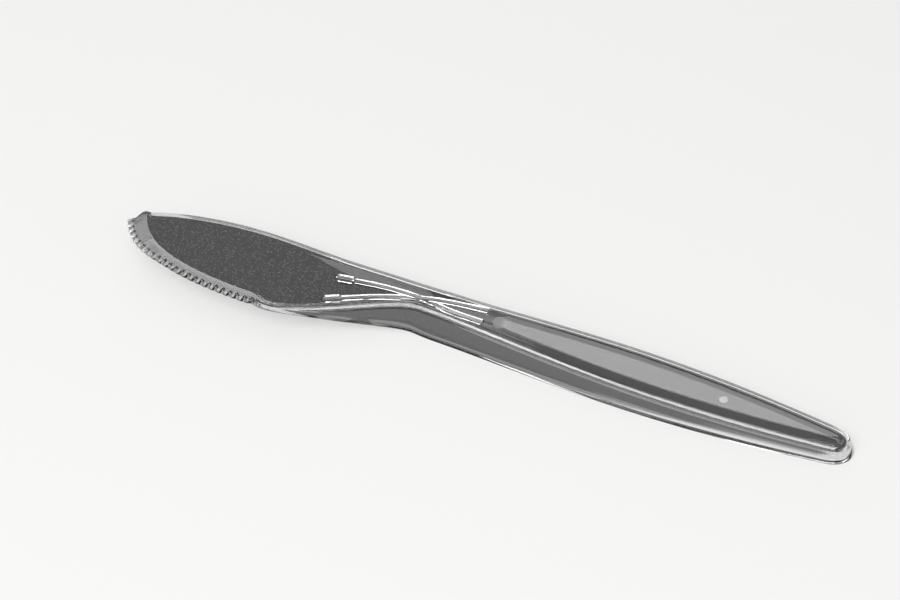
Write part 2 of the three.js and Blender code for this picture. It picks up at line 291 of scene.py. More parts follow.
near_chain = [
    ("tip", [tip_middle, tip.lerp(bevel_start, 0.5), bevel_start], lambda along: (1 + along) / 2),
    ("blade", [bevel_start, bevel_pull, *plan((behind_tip(bevel_second), -bevel_below)), bevel_end],
     lambda along: 1),
    ("scoop", [bevel_end, *plan((bevel_end_x + 0.5 * scoop_length, -bevel_below),
                                (heel_x - 0.5 * scoop_length, -heel_below)), heel],
     lambda along: mix(1, heel_share, ease(along, 0, 1))),
    ("shoulder", [heel, *plan((front_first * heel_x, -mix(neck_half, heel_below, front_deep)),
                              (front_second * heel_x, -neck_half), (0, -neck_half))],
     lambda along: heel_share * (1 - ease(along, 0, heel_fade))),
    *[(name, mirrored(knots), no_bevel) for name, knots in handle_side],
]
print("stretches on each side:", len(far_chain), len(near_chain))

# %% [markdown]
# ## Directions along the crest
#
# The wall goes down from the crest in rings, so each crest point needs the direction that points
# straight out of the outline. It stands square to the line through its two neighbours. In the
# scoop the outline bends to and fro, and such directions would cross each other, so there the
# direction turns evenly from one end to the other.

# %% Crest points and their outward directions


class CrestPoint:
    """A point of the crest, with its outward direction and its share of the cutting bevel.

    The flute is how far a flute's round floor has risen there, and endless where there is none.
    """

    def __init__(self, at, cut, stretch):
        self.at = at
        self.cut = cut
        self.stretch = stretch
        self.out = None
        self.flute = math.inf


def crest_points(chain):
    """The points of one side, stretch after stretch."""
    points = []
    for name, knots, bevel in chain:
        count = STEPS[name]
        for i, at in enumerate(even_points(knots, count)):
            points.append(CrestPoint(at, bevel(i / count), name))
    return points


far_points = crest_points(far_chain)
near_points = crest_points(near_chain)
end_pole = CrestPoint(Vector((handle_length, 0)), 0, "end")
crest = [*far_points, end_pole, *reversed(near_points[1:])]
half = len(crest) // 2
for i, point in enumerate(crest):
    step = (crest[(i + 1) % len(crest)].at - crest[i - 1].at).normalized()
    point.out = Vector((-step.y, step.x))

scoop = [point for point in near_points if point.stretch == "scoop"]
turn_from, turn_to = scoop[0].out.copy(), scoop[-1].out.copy()
for i, point in enumerate(scoop):
    point.out = turn_from.lerp(turn_to, i / (len(scoop) - 1)).normalized()
print("points on the crest:", len(crest), "half:", half)

# %% [markdown]
# ## The profile of the wall
#
# At every crest point the wall has the same family of profiles: a crown that falls away from the
# flat top, a round, a drafted wall that is a little hollow, a small round at its foot, a flat rim,
# and the inside of the channel. Along the blade the same lines become the bevel and its thin edge.
# Blade and handle could be two meshes, but their seam would show in clear plastic. With the profile
# written as functions of the crest point, one set of rings makes the whole skin, also where the
# bevel turns into the wall at the heel.

# %% Sizes of the profile
wall, draft = 1.2, 20  # thickness, and degrees by which the walls lean out
crown_inset, crown_drop = 2.8, 0.25  # width and fall of the handle's crown
blade_crown_inset, blade_crown_drop = 1.4, 0.1  # the same on the blade
crown_fade = 18  # where the handle's crown has its full size
corner_round, blade_corner_round = 1.6, 1.3  # of the crest
inner_round, rim_round = 0.8, 0.15  # inside the channel, and at the foot of the wall
neck_hollow, end_hollow = 0.055, 0.09  # of the wall, as a share of its slanted height
tip_inset, tip_widening = 0.36, 0.3  # room for the crown at the tip, and its growth from there
bevel_run, bevel_tip_run = 3, 4.6  # width of the bevel, and at the tip
bevel_taper = 13  # how far behind the tip it has its own width
bevel_crease, bevel_margin = 0.1, 0.4  # round and flat strip along its upper line
edge_thickness, least_edge = 0.4, 0.07  # of the cutting edge, and what the flutes leave of it
tooth_depth, tooth_length = 0.42, 1.6  # of a flute at the edge, and up the bevel
tooth_scallop = 0.14  # how far a flute bites into the edge in plan
LEAST = 0.02  # smallest step or round
SUPPORT = 0.05  # distance of a ring that keeps a flat face flat

draft_rate = math.tan(math.radians(draft))
rim_width = wall / math.cos(math.radians(draft))
print("width of the rim:", round(rim_width, 2), "lean of the wall:", round(draft_rate, 3))

# %% Sizes of the profile at one crest point


class Profile:
    """Heights and offsets of the wall at one crest point."""

    def __init__(self, point):
        x, y = point.at
        self.cut = cut = point.cut
        self.room = tip_inset + tip_widening * (x - tip_x)
        on_handle = ease(x, 0, crown_fade)
        wide = mix(blade_crown_inset, crown_inset, on_handle)
        self.inset = min(mix(wide, bevel_margin, cut), self.room)
        full_drop = mix(blade_crown_drop, crown_drop, on_handle)
        self.drop = full_drop * (1 - cut) * min(1, self.room / wide)
        self.crest = top_height(x, y) - self.drop
        self.flat = top_height(*(point.at - point.out * self.inset))
        self.low = underside(x)
        self.rim = mix(rim_height(x), self.low + edge_thickness, cut)
        bevel = mix(bevel_tip_run, bevel_run, ease(x, tip_x, tip_x + bevel_taper))
        self.run = mix((self.crest - self.rim) * draft_rate, bevel, cut)
        self.length = math.hypot(self.run, self.crest - self.rim)
        corner_size = mix(blade_corner_round, corner_round, on_handle)
        self.round = mix(min(corner_size, self.room, self.length / 2), bevel_crease, cut)
        self.start = -min(self.round, self.inset)
        self.lift = rim_round * (1 - cut) + LEAST
        self.flute = point.flute
        hollow = mix(neck_hollow, end_hollow, ease(x, 0, handle_length))
        self.hollow = hollow * self.length * (1 - cut)


neck_point = next(point for point in far_points if point.stretch == "swell")
print("wall at the neck:", round(Profile(neck_point).length, 2), "mm down its slope")

# %% Outside of the wall: offset and height at a share of each stretch


def flat_top(p, share):
    """A ring just inside the crown, which keeps the flat's shading flat."""
    return -p.inset - SUPPORT * (1 - share), p.flat


def crown(p, share):
    """The fall from the flat to the start of the round."""
    offset = mix(-p.inset, p.start, share)
    plane = mix(p.flat, p.crest + p.drop, (offset + p.inset) / p.inset)
    return offset, plane - p.drop * share * share


def corner(p, share):
    """The round at the crest, a curve that the crest itself pulls at."""
    near, far = (1 - share) ** 2, share ** 2
    start_height = crown(p, 1)[1]
    wall_offset = p.run * p.round / p.length
    wall_height = p.crest - (p.crest - p.rim) * p.round / p.length
    offset = near * p.start + far * wall_offset
    return offset, near * start_height + (1 - near - far) * p.crest + far * wall_height


def side(p, share):
    """The hollow wall from the round to its foot. On the bevel the flutes are cut into it."""
    first = corner(p, 1)
    last = p.run * (1 - p.lift / (p.crest - p.rim)), p.rim + p.lift
    offset, height = mix(first[0], last[0], share), mix(first[1], last[1], share)
    depth = tooth_depth * (1 - (p.run - offset) / tooth_length) - p.flute
    depth = max(min(depth, height - p.low - least_edge), 0)
    offset -= p.hollow * 4 * share * (1 - share)
    return offset - tooth_scallop * depth / tooth_depth * share, height - depth


def rim_turn(p, share):
    """The round at the foot of the wall."""
    side_offset, side_height = side(p, 1)
    flat = mix(p.run - rim_round / 2 * (1 - p.cut), side_offset, p.cut)
    angle = share * math.pi / 2
    height = mix(side_height, p.rim, math.sin(angle) * (1 - p.cut))
    return mix(side_offset, flat, 1 - math.cos(angle)), height


def rim_flat(p, share):
    """The flat rim. On the blade it is the face of the cutting edge."""
    outer = rim_turn(p, 1)
    inner = mix(p.run - rim_width, side(p, 1)[0], p.cut)
    return mix(outer[0], inner, share), mix(outer[1], mix(p.rim, p.low, p.cut), share)


foot = side(Profile(neck_point), 1)
print("foot of the wall at the neck:", round(foot[0], 2), "out,", round(foot[1], 2), "up")

# %% Inside of the wall, and the rings


def inner_turn(p, share):
    """The round between the inside of the wall and the underside."""
    hang = max(p.low - p.rim, 0) * (1 - p.cut)
    bend = max(min(inner_round, hang / 2), 2 * LEAST)
    foot = p.run - rim_width - max(hang - bend, 0) * draft_rate
    angle = share * math.pi / 2
    offset = foot - bend * (1 - math.cos(angle))
    height = p.low - bend * (1 - math.sin(angle)) * (1 - p.cut)
    return max(offset, -p.room - share * LEAST), height


def inner_wall(p, share):
    """The inside of the wall, parallel to its outside."""
    first = rim_flat(p, 1)
    last = inner_turn(p, 0)
    return mix(first[0], last[0], share), mix(first[1], last[1], share)


def flat_under(p, share):
    """A ring just inside the inner round, which keeps the underside's shading flat."""
    offset, height = inner_turn(p, 1)
    return offset - SUPPORT * share, height


def stations(function, count, first=0):
    """One ring for each of count + 1 even shares of a stretch of the profile."""
    return [(function, i / count) for i in range(first, count + 1)]


RINGS = [
    (flat_top, 0),
    *stations(crown, 6),
    *stations(corner, 8, 1),
    *stations(side, 16, 1),
    *stations(rim_turn, 4, 1),
    *stations(rim_flat, 2, 1),
    *stations(inner_wall, 3, 1),
    *stations(inner_turn, 6, 1),
    (flat_under, 1),
]
print("rings from the flat top to the flat underside:", len(RINGS))

# %% [markdown]
# ## Teeth
#
# The teeth are what is left between round flutes cut across the bevel, one every 1.8 millimetres.
# Each could be cut with a small cylinder and a boolean, but that many cuts leave long thin faces
# with poor shading. A flute is as deep as the part of its circle that lies below the bevel, so it
# is enough for each crest point to know how far the circle has risen there.

# %% Place of the flutes along the edge
tooth_pitch, tooth_radius = 1.82, 0.75  # from flute to flute, and of a flute
tooth_start = 1.64  # from the bevel's start to the middle of the first flute
TOOTHED_FROM = 0.5  # share of the bevel that a toothed wall has at least


def edge_place(point):
    """The place in plan where a crest point's bevel reaches the edge."""
    return point.at + point.out * Profile(point).run


toothed = [point for point in crest if point.cut > TOOTHED_FROM]
travelled = 0.0
for i, point in enumerate(toothed):
    if i:
        travelled += (edge_place(point) - edge_place(toothed[i - 1])).length
    from_middle = (((travelled - tooth_start) / tooth_pitch + 0.5) % 1 - 0.5) * tooth_pitch
    if abs(from_middle) < tooth_radius:
        point.flute = tooth_radius - math.sqrt(tooth_radius ** 2 - from_middle ** 2)
print("teeth along the edge:", int(travelled / tooth_pitch), "edge length", round(travelled, 1))

# %% [markdown]
# ## The slanted end
#
# The blade's end is cut off at a slant, with a step where the toothed strip starts. The finished
# skin could be cut with two planes. Stopping each ring point that would reach past the end is
# simpler and keeps the rings whole: points that then fall together are merged.

# %% Stop the rings at the blade's end
tip_slant, strip_slant = 12, 33  # degrees of the end and of the toothed strip's own end
notch_ahead, notch_below = 1.6, 5.7  # the step's place ahead of the tip and below the centre line
PARALLEL = 1e-6  # a direction that closes on a line by less than this never meets it

notch = Vector((tip_x - notch_ahead, -notch_below))
end_line = Vector((math.sin(math.radians(tip_slant)), math.cos(math.radians(tip_slant))))
strip_line = -Vector((math.cos(math.radians(strip_slant)), math.sin(math.radians(strip_slant))))


def reach_to(point, line):
    """Distance from a crest point along its outward direction to a ray from the notch."""
    turned = Vector((-line.y, line.x))
    closing = point.out.dot(turned)
    if abs(closing) < PARALLEL:
        return math.inf
    distance = (notch - point.at).dot(turned) / closing
    along = (point.at + point.out * distance - notch).dot(line)
    return distance if distance > 0 and along >= 0 else math.inf


def allowed_reach(point):
    """How far out the rings may go at a crest point before they pass the blade's end."""
    if point.at.x > tip_x + bevel_tip_run:
        return math.inf
    return min(reach_to(point, end_line), reach_to(point, strip_line))


reaches = [allowed_reach(point) for point in crest]
profiles = [Profile(point) for point in crest]


def ring_places(function, share):
    """The places of one ring's vertices, in metres."""
    places = []
    for point, profile, reach in zip(crest, profiles, reaches):
        offset, height = function(profile, share)
        place = point.at + point.out * min(offset, reach)
        places.append(Vector((place.x, place.y, height)) * MM)
    return places


print("crest points stopped at the end:", sum(reach < math.inf for reach in reaches))

# %% [markdown]
# ## The skin
#
# The moulding is one closed skin. It could be cut out of a block with booleans, but soft rounds and
# even faces are hard to get that way. Here a circle of vertices is laid on the first ring, and its
# edges are extruded ring after ring down the profile. The two open flat faces are then closed: the
# far and the near half of the ring are bridged, and the rungs of the top one are subdivided so that
# it can follow the blade's tilt. Each face's material index remembers its part of the moulding.

# %% Helpers that extrude a ring and close a flat face


def edge_between(a, b):
    """The edge that joins two vertices."""
    return next(edge for edge in a.link_edges if edge.other_vert(a) == b)


def loop_edges(verts):
    """The edges of a closed ring of vertices."""
    return [edge_between(a, b) for a, b in zip(verts, verts[1:] + verts[:1])]


def lay(verts, places):
    """Puts vertices on their places."""
    for vert, place in zip(verts, places):
        vert.co = place


def extruded_ring(bm, verts, places, kind):
    """Extrudes a closed ring of vertices and lays the new ring on its places, in the same order."""
    old = {vert: i for i, vert in enumerate(verts)}
    made = bmesh.ops.extrude_edge_only(bm, edges=loop_edges(verts))["geom"]
    new = [None] * len(verts)
    for part in made:
        if isinstance(part, bmesh.types.BMVert):
            below = next(e.other_vert(part) for e in part.link_edges if e.other_vert(part) in old)
            new[old[below]] = part
        elif isinstance(part, bmesh.types.BMFace):
            part.material_index = kind
    lay(new, places)
    return new


def close_across(bm, verts, kind):
    """Bridges the far and the near half of a ring, closes its two ends and gives the rungs."""
    past_tip = STEPS["tip"]
    far, near = verts[past_tip:half], verts[half + 1:len(verts) - past_tip + 1]
    edges = [edge_between(a, b) for row in (far, near) for a, b in zip(row, row[1:])]
    bridge = bmesh.ops.bridge_loops(bm, edges=edges)
    tip_edges = loop_edges(verts[-past_tip:] + verts[:past_tip + 1])
    tip_end = bmesh.ops.contextual_create(bm, geom=tip_edges)
    handle_end = bmesh.ops.contextual_create(bm, geom=loop_edges(verts[half - 1:half + 2]))
    for face in bridge["faces"] + tip_end["faces"] + handle_end["faces"]:
        face.material_index = kind
    return bridge["edges"]


# %% Extrude the rings and bridge the flat faces
KINDS = 7
UPPER, OUTER, RIM, INNER, UNDER, PAD, RIB = range(KINDS)
KIND = {flat_top: UPPER, crown: UPPER, corner: UPPER, side: OUTER, rim_turn: RIM, rim_flat: RIM,
        inner_wall: INNER, inner_turn: UNDER, flat_under: UNDER}
RUNG_CUTS = 13  # new vertices on each rung of the flat top
MERGE_DISTANCE, SLIVER_LENGTH = 0.0002, 0.0001  # mm
BEVEL_LOOKS_UP = 0.6  # Z of the normal from which a wall's face counts as an upper one

bm = bmesh.new()
ring = bmesh.ops.create_circle(bm, cap_ends=False, radius=1, segments=len(crest))["verts"]
first_ring = ring
lay(ring, ring_places(*RINGS[0]))
for function, share in RINGS[1:]:
    ring = extruded_ring(bm, ring, ring_places(function, share), KIND[function])
rungs = close_across(bm, first_ring, UPPER)
close_across(bm, ring, UNDER)
cut_rungs = bmesh.ops.subdivide_edges(bm, edges=rungs, cuts=RUNG_CUTS, use_grid_fill=True)
for part in cut_rungs["geom_inner"]:
    if isinstance(part, bmesh.types.BMVert):
        part.co.z = top_height(part.co.x / MM, part.co.y / MM) * MM
bmesh.ops.remove_doubles(bm, verts=bm.verts, dist=MERGE_DISTANCE * MM)
bmesh.ops.dissolve_degenerate(bm, edges=bm.edges, dist=SLIVER_LENGTH * MM)
bmesh.ops.recalc_face_normals(bm, faces=bm.faces)
for face in bm.faces:
    if face.material_index == OUTER and face.normal.z > BEVEL_LOOKS_UP:
        face.material_index = UPPER
open_edges = [edge for edge in bm.edges if len(edge.link_faces) != 2]
print("faces:", len(bm.faces), "open edges:", len(open_edges))
print("volume in mm3:", round(bm.calc_volume() / MM ** 3, 1))

# %% Make an object of the skin


def scene_object(name, bm, kinds=0):
    """Makes an object of a bmesh, with empty material slots for the kinds of its faces."""
    mesh = bpy.data.meshes.new(name)
    bm.to_mesh(mesh)
    bm.free()
    for _ in range(kinds):
        mesh.materials.append(None)
    made = bpy.data.objects.new(name, mesh)
    bpy.context.scene.collection.objects.link(made)
    return made


knife = scene_object("table_knife", bm, KINDS)
print("made", knife.name, "with", len(knife.data.vertices), "vertices")

# %% [markdown]
# ## Ribs and ejector pads
#
# Under the neck two stiffening ribs cross, each with a thick head under the blade like a match.
# Two round pads show where ejector pins push the moulding out. A rib could be a curve object with
# a bevel, but its head and its round tail need their own sizes. So it is swept: a small circle is
# extruded along the route and grows and shrinks with it.

# %% Route and thickness of a rib
rib_radius, rib_drop = 0.82, 0.2  # of the bar, and its middle below the underside
rib_reach, rib_tail = 19, 13.6  # from the neck to the middle of the head, and to the tail
upper_head_below, lower_head_below = 2.7, 9.45  # heads below the centre line
cross_at, cross_below = 1, 0.7  # the crossing ahead of the neck, and below the centre line
tail_above, rib_spread = 0.35, 1.8  # middle of the two tails, and each tail's distance from it
rib_bow, tail_bow = 0.57, 0.4  # bend of the bars towards the spine, and of the tails outwards
head_radius, head_length = 1.2, 4.6
head_point, head_step = 1.1, 0.5  # lengths of the head's point and of the step down to the bar
HEAD_BLUNTNESS = 1.6  # 1 would make the head's point a cone
ROUTE_STEPS = 100  # points on each of a route's curves


def rib_route(head_below, tail_side):
    """Points along the middle line of a rib, from the head's point to the end of its tail."""
    head, cross = Vector((-rib_reach, -head_below)), Vector((-cross_at, -cross_below))
    tail = Vector((rib_tail, tail_above + rib_spread * tail_side))
    knots = [head, head.lerp(cross, 0.5) + Vector((0, rib_bow)), cross,
             cross.lerp(tail, 0.5) + Vector((0, tail_bow * tail_side)), tail]
    inner_pulls = [(after - before) / 2 for before, after in zip(knots, knots[2:])]
    pulls = [knots[1] - knots[0], *inner_pulls, knots[-1] - knots[-2]]
    route = []
    for i in range(len(knots) - 1):
        start, goal = knots[i], knots[i + 1]
        curve = [start, start + pulls[i] / 3, goal - pulls[i + 1] / 3, goal]
        route += even_points(curve, ROUTE_STEPS)
    route.append(knots[-1])
    return [knots[0] - pulls[0].normalized() * head_length / 2, *route,
            knots[-1] + pulls[-1].normalized() * rib_radius]


def along_route(route, distance):
    """Place and heading at a distance along a route."""
    for a, b in zip(route, route[1:]):
        length = (b - a).length
        if distance <= length:
            return a.lerp(b, distance / length), (b - a).normalized()
        distance -= length
    return route[-1], (route[-1] - route[-2]).normalized()


def rib_size(distance, total):
    """Radius along a rib: a pointed head, a step down to the bar, and a round tail."""
    if distance < head_point:
        return max(head_radius * (1 - (1 - distance / head_point) ** HEAD_BLUNTNESS), LEAST)
    if distance < head_length:
        return mix(head_radius, rib_radius, ease(distance, head_length - head_step, head_length))
    past = max(distance - total + rib_radius, 0)
    return max(math.sqrt(max(rib_radius ** 2 - past ** 2, 0)), LEAST)


print("points on a rib's route:", len(rib_route(upper_head_below, -1)))

# %% Sweep the ribs
RIB_SIDES, RIB_STEPS = 40, 150
END_CROWDING = 0.8  # how far the steps draw together at head and tail


def rib_places(route, total, share):
    """The round section at a share of the way along a rib, in metres."""
    close_at_ends = 0.5 - 0.5 * math.cos(math.pi * share)
    distance = total * mix(share, close_at_ends, END_CROWDING)
    middle, heading = along_route(route, distance)
    radius = rib_size(distance, total)
    across = Vector((-heading.y, heading.x))
    height = underside(middle.x) - rib_drop
    places = []
    for k in range(RIB_SIDES):
        angle = 2 * math.pi * k / RIB_SIDES
        at = middle + across * (radius * math.cos(angle))
        places.append(Vector((at.x, at.y, height + radius * math.sin(angle))) * MM)
    return places


def rib(name, head_below, tail_side):
    """A rib as an object of its own, swept along its route."""
    route = rib_route(head_below, tail_side)
    total = sum((b - a).length for a, b in zip(route, route[1:]))
    bm = bmesh.new()
    ring = bmesh.ops.create_circle(bm, cap_ends=True, radius=1, segments=RIB_SIDES)["verts"]
    lay(ring, rib_places(route, total, 0))
    for i in range(1, RIB_STEPS + 1):
        ring = extruded_ring(bm, ring, rib_places(route, total, i / RIB_STEPS), RIB)
    bmesh.ops.contextual_create(bm, geom=ring)
    bmesh.ops.recalc_face_normals(bm, faces=bm.faces)
    print(name, "is", round(total, 1), "mm long")
    return scene_object(name, bm, KINDS)


upper_rib = rib("upper_rib", upper_head_below, -1)
lower_rib = rib("lower_rib", lower_head_below, 1)

# %% Make the pads
large_pad_at, large_pad_radius = 17.6, 1.65
small_pad_at, small_pad_radius = 69.8, 0.95
pad_height = 0.25  # below the underside
PAD_SIDES = 96


def ejector_pad(name, x, radius):
    """A pad as an object of its own, a short cylinder that reaches up into the web."""
    bm = bmesh.new()
    depth = web / 2 + pad_height
    place = Vector((x, 0, underside(x) + depth / 2 - pad_height)) * MM
    bmesh.ops.create_cone(
        bm, cap_ends=True, segments=PAD_SIDES, radius1=radius * MM, radius2=radius * MM,
        depth=depth * MM, matrix=Matrix.Translation(place),
    )
    for face in bm.faces:
        face.material_index = PAD
    print(name, "is", 2 * radius, "mm wide")
    return scene_object(name, bm, KINDS)


large_pad = ejector_pad("large_pad", large_pad_at, large_pad_radius)
small_pad = ejector_pad("small_pad", small_pad_at, small_pad_radius)

# %% [markdown]
# ## One moulding
#
# On the real knife ribs, pads and skin are one piece of plastic. Left as they are, the meshes would
# only pass through each other, and light would meet a hidden surface inside the knife. Boolean
# modifiers join them. Their result is taken as the new mesh, so that each face can be given its
# tint in the next step.

# %% Join the ribs and pads to the skin
joined = [upper_rib, lower_rib, large_pad, small_pad]
for piece in joined:
    union = knife.modifiers.new(piece.name, "BOOLEAN")
    union.operation = "UNION"
    union.solver = "EXACT"
    union.material_mode = "INDEX"
    union.object = piece
evaluated = knife.evaluated_get(bpy.context.evaluated_depsgraph_get())
whole = bpy.data.meshes.new_from_object(evaluated)
knife.modifiers.clear()
knife.data = whole
for piece in joined:
    bpy.data.objects.remove(piece)
print("faces after joining:", len(whole.polygons))

# %% [markdown]
# ## Where the plastic looks dark
#
# The plastic is clear. The knife reads as smoke grey with white edges only because a dark ground
# shows through it, and a clear one would vanish on a pale floor. So the grey is painted shade, a
# tint on the faces. A tint throughout would dull the white edges too. So only the faces that look
# down and the walls have the painted shade, and the upper faces are clear: light that runs straight
# down through the knife is darkened, and light that rounds, ribs and edges turn back up stays
# bright. The painted shade fades at the foot of the near wall, most of all towards the handle's end,
# on the far wall and on the steep sides of the ribs, and so paints bright bands and lines there. A
# second number keeps specks of dust off the handle's top, and a third marks the matt pads. All three
# are face attributes that the material reads.

# %% Painted shade of every face
# Shares of painted shade: a grey tint that stands in for a dark ground seen through the clear
# plastic
PAINTED_SHADE_SHARE = {UPPER: 0.0, OUTER: 0.85, RIM: 0.85, INNER: 0.77, UNDER: 1.0, PAD: 0.85, RIB: 1.0}
# Behind the centre line the walls get other amounts of painted shade; the lighter outside paints a
# bright band along the far edge
FAR_WALL_SHARE, FAR_INSIDE_SHARE = 0.3, 0.9
# Less painted shade on the small pad paints it lighter
SMALL_PAD_SHARE = 0.3
# Less painted shade on the ribs' steep sides paints their bright lines
BAR_SIDE_SHARE, TAIL_SIDE_SHARE = 0.5, 0.2
SPECK_SHARE = 0.86  # tint that is left in the middle of a speck
# The painted shade is left off the near wall's foot, so that a bright band shows there, wider
# towards the handle's end
near_band = 1  # from this far in front of the centre line, the near wall's tint holds
foot_least = 0.1  # the wall's clear foot, as a share of its height
foot_growth, foot_end_growth = 0.3, 0.4  # what it gains along the handle, and round its end
foot_grows, foot_grown = 35, 85  # where it gains that along the handle
end_turns, end_turned = 92, 97  # where the wall turns round the handle's end
foot_clear = 0.55  # the lower part of the foot, which has no tint at all
steep_start, steep_full = -0.85, -0.5  # Z of a normal on a rib's side that gets steep, and is
tails_start, tails_full = -3, 2  # where the bars become the tails


def wall_painted_shade(kind, x, y, z):
    """Painted shade of a wall: its own in front, another behind, and none at its foot, so that a
    bright band shows there.
    """
    near = ease(-y, 0, near_band)
    at_end = ease(x, end_turns, end_turned)
    height = (z - rim_height(x)) / (top_plane(x) - rim_height(x))
    foot = foot_least + foot_growth * ease(x, foot_grows, foot_grown) + foot_end_growth * at_end
    clear = (1 - ease(height, foot_clear * foot, foot)) * max(near, at_end)
    far_share = FAR_WALL_SHARE if kind == OUTER else FAR_INSIDE_SHARE
    return mix(mix(far_share, PAINTED_SHADE_SHARE[kind], near), 0, clear)


def rib_painted_shade(x, looks_up):
    """Painted shade of a rib: full where it looks straight down, less on its steep sides, which
    paints their bright lines.
    """
    steep = ease(looks_up, steep_start, steep_full)
    side_share = mix(BAR_SIDE_SHARE, TAIL_SIDE_SHARE, ease(x, tails_start, tails_full))
    return mix(PAINTED_SHADE_SHARE[RIB], side_share, steep)


def painted_shade_of(face):
    """Share of painted shade on a face."""
    kind = face.material_index
    x, y, z = face.center / MM
    if kind in (OUTER, RIM, INNER):
        return wall_painted_shade(kind, x, y, z)
    if kind == RIB:
        return rib_painted_shade(x, face.normal.z)
    if kind == PAD and x > swell_at:
        return SMALL_PAD_SHARE
    return PAINTED_SHADE_SHARE[kind]


def clean_of(face):
    """Specks lie on the blade and the walls, and the top of the handle is clean."""
    return 1.0 if face.material_index == UNDER and face.center.x > 0 else SPECK_SHARE


def frost_of(face):
    """Only the pads are matt."""
    return 1.0 if face.material_index == PAD else 0.0


for name, value_of in {"painted_shade": painted_shade_of, "clean": clean_of, "frost": frost_of}.items():
    values = [value_of(face) for face in whole.polygons]
    whole.attributes.new(name, "FLOAT", "FACE").data.foreach_set("value", values)
    print(name, "on average:", round(sum(values) / len(values), 3))
whole.polygons.foreach_set("material_index", [0] * len(whole.polygons))

# %% [markdown]
# ## Into place
#
# The drawing frame starts at the neck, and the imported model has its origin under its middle. The
# handle's end, the spine side and the table are the same in both, so the mesh is moved by the
# difference. The object itself stays at the origin. Smooth shading up to a limiting angle keeps the
# rounds soft and the teeth crisp.

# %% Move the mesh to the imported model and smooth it
SHARP_ANGLE = 38  # degrees
places = [vert.co for vert in whole.vertices]
shift = Vector((
    cad_box[1][0] - max(place.x for place in places),
    cad_box[1][1] - max(place.y for place in places),
    cad_box[0][2] - min(place.z for place in places),
))
whole.transform(Matrix.Translation(shift))
whole.shade_smooth()
whole.set_sharp_from_angle(angle=math.radians(SHARP_ANGLE))
print("moved by mm:", [round(value / MM, 3) for value in shift])

# %% [markdown]
# ## Clear polystyrene
#
# Crystal polystyrene is glass-clear, with an index of refraction of 1.59, and comes out of a
# polished mould, so it is glossy all over. Only the ejector pads are matt. A Glass shader would do,
# but the Principled one with full transmission also survives an export. Its colour goes from clear
# to a dark grey by the painted shade of the faces, which stands in for a dark ground seen through,
# fine specks of dust lighten it, and its roughness rises on the pads.

# %% Helpers for materials


def linear(hex_colour):
    """sRGB hex to linear colour."""
    channels = [int(hex_colour[i:i + 2], 16) / 255 for i in (0, 2, 4)]
    return [c / 12.92 if c <= 0.04045 else ((c + 0.055) / 1.055) ** 2.4 for c in channels] + [1.0]


def add_node(tree, kind, settings=None, inputs=None):
    """Adds a node with its settings, and sets or links its inputs by name or number."""
    node = tree.nodes.new(kind)
    for name, value in (settings or {}).items():
        setattr(node, name, value)
    for name, value in (inputs or {}).items():
        if isinstance(value, bpy.types.NodeSocket):
            tree.links.new(value, node.inputs[name])
        else:
            node.inputs[name].default_value = value
    return node


def new_material(name):
    """A material whose node tree is still empty, and that tree."""
    material = bpy.data.materials.new(name)
    material.use_nodes = True
    material.node_tree.nodes.clear()
    return material, material.node_tree


print("808080 in linear colour:", round(linear("808080")[0], 3))

# %% Polished clear polystyrene
# The dark grey is painted shade, standing in for a dark ground seen through the clear plastic
PAINTED_SHADE_GREY, CLEAR = "121212", "FBFBFC"
SPECK_CELL = 0.5  # mm from speck to speck, coarser than real dust, which would be too fine to show
SPECK_CORE, SPECK_EDGE = 0.08, 0.3  # where a speck starts and stops fading, in cells
POLISHED, MATT = 0.03, 0.6  # roughness
POLYSTYRENE_IOR = 1.59
MIX_A, MIX_B, MIX_RESULT = 6, 7, 2  # the colour sockets of a Mix node

material, tree = new_material("clear_polystyrene")
place = add_node(tree, "ShaderNodeTexCoord").outputs["Object"]
# The share of painted shade on each face
painted_shade = add_node(tree, "ShaderNodeAttribute", {"attribute_name": "painted_shade"}).outputs["Fac"]
clean = add_node(tree, "ShaderNodeAttribute", {"attribute_name": "clean"}).outputs["Fac"]
frost = add_node(tree, "ShaderNodeAttribute", {"attribute_name": "frost"}).outputs["Fac"]
grain = add_node(tree, "ShaderNodeTexVoronoi", inputs={
    "Vector": place,
    "Scale": 1 / (SPECK_CELL * MM),
})
speck = add_node(tree, "ShaderNodeMapRange", inputs={
    "Value": grain.outputs["Distance"],
    "From Min": SPECK_CORE,
    "From Max": SPECK_EDGE,
    "To Min": clean,
    "To Max": 1.0,
})
# Specks of dust lighten the painted shade
dust_and_painted_shade = add_node(tree, "ShaderNodeMath", {"operation": "MULTIPLY"}, {
    0: painted_shade,
    1: speck.outputs[0],
})
tint = add_node(tree, "ShaderNodeMix", {"data_type": "RGBA"}, {
    "Factor": dust_and_painted_shade.outputs[0],
    MIX_A: linear(CLEAR),
    MIX_B: linear(PAINTED_SHADE_GREY),
})
gloss = add_node(tree, "ShaderNodeMapRange", inputs={
    "Value": frost,
    "To Min": POLISHED,
    "To Max": MATT,
})
shader = add_node(tree, "ShaderNodeBsdfPrincipled", inputs={
    "Base Color": tint.outputs[MIX_RESULT],
    "Roughness": gloss.outputs[0],
    "IOR": POLYSTYRENE_IOR,
    "Transmission Weight": 1.0,
})
add_node(tree, "ShaderNodeOutputMaterial", inputs={"Surface": shader.outputs["BSDF"]})
whole.materials.clear()
whole.materials.append(material)
print("material:", material.name, "with", len(tree.nodes), "nodes")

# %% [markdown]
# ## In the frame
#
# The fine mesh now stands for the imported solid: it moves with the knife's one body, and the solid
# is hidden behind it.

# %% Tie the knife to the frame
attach(knife, "root")
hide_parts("knife")
print(knife.name, "rides on root")

